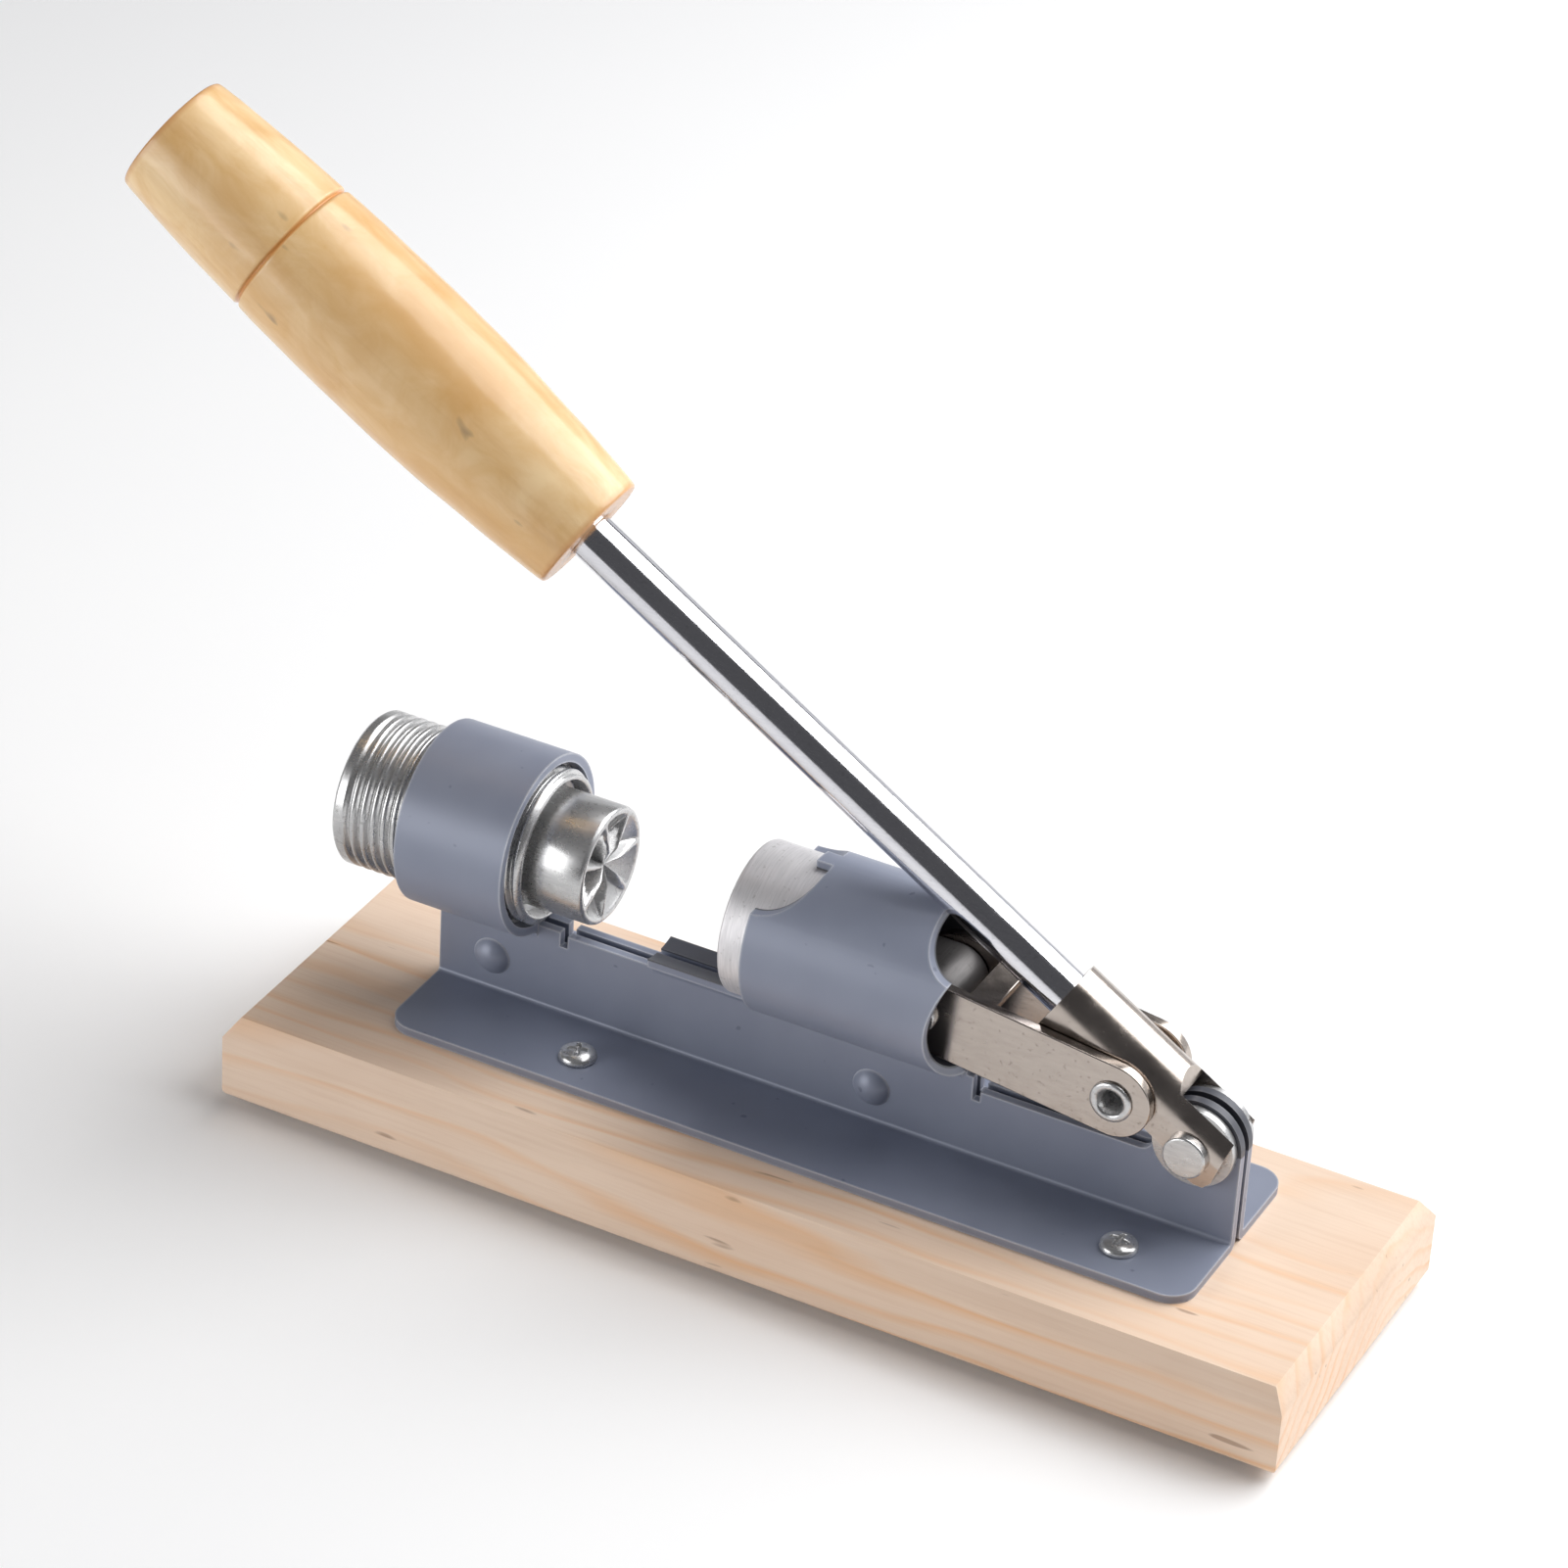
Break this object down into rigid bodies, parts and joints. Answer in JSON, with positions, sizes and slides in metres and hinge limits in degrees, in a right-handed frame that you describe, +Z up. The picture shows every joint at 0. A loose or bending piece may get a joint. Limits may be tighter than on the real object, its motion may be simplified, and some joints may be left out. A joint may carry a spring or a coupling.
{
  "type": "bench lever nutcracker",
  "caption": "Bench nutcracker: a hand lever drives a ram through a toggle link towards a screw-adjusted anvil, on a steel frame screwed to a wooden board.",
  "frame": {"origin": "middle of the bounding box's bottom, on the surface that the feet stand on", "axes": "+X along the board from the anvil to the lever's pivot, +Y to the rear, +Z up"},
  "size_m": [0.297, 0.08, 0.2174],
  "materials": {
    "pine": "varnished",
    "grip_wood": "varnished",
    "foot_rubber": "matte",
    "frame_paint": "satin",
    "zinc_steel": "zinc plated",
    "cast_ram": "machined and plated",
    "nickel": "nickel plated",
    "chrome": "polished"
  },
  "bodies": {
    "base": {"base_board": "pine", "rubber_feet": "foot_rubber", "base_screws": "zinc_steel", "press_frame": "frame_paint", "frame_rivets": "frame_paint", "screw_bush": "zinc_steel"},
    "lever": {"lever_yoke": "nickel", "lever_rod": "chrome", "handle_grip": "grip_wood", "link_rivet": "zinc_steel", "pivot_pin": "zinc_steel", "pivot_clip": "zinc_steel", "pivot_spacers": "zinc_steel"},
    "link": {"toggle_link": "nickel", "ram_pin": "zinc_steel"},
    "ram": {"ram": "cast_ram"},
    "anvil": {"anvil_cup": "nickel", "anvil_clip": "zinc_steel"},
    "screw": {"adjusting_screw": "zinc_steel"}
  },
  "joints": [
    {"name": "lever_hinge", "type": "hinge", "parent": "base", "child": "lever", "pos_m": [0.10904, 0.002, 0.0463], "axis": [0, 1, 0], "range_deg": [0, 60]},
    {"name": "ram_slide", "type": "slide", "parent": "base", "child": "ram", "axis": [1, 0, 0], "range_m": [0, 0.0146]},
    {"name": "link_pivot", "type": "hinge", "parent": "lever", "child": "link", "pos_m": [0.09244, 0.002, 0.055], "axis": [0, 1, 0], "range_deg": [-76, 0]},
    {"name": "anvil_advance", "type": "slide", "parent": "base", "child": "anvil", "axis": [1, 0, 0], "range_m": [-0.0025, 0.0025]},
    {"name": "screw_turn", "type": "hinge", "parent": "anvil", "child": "screw", "pos_m": [-0.06646, 0.002, 0.063], "axis": [1, 0, 0], "range_deg": [-361, 361]}
  ],
  "couplings": [
    {"joint": "ram_slide", "follows": "lever_hinge", "m_per_rad": 0.01387},
    {"joint": "link_pivot", "follows": "lever_hinge", "ratio": -1.245},
    {"joint": "screw_turn", "follows": "anvil_advance", "rad_per_m": 2513.3}
  ]
}
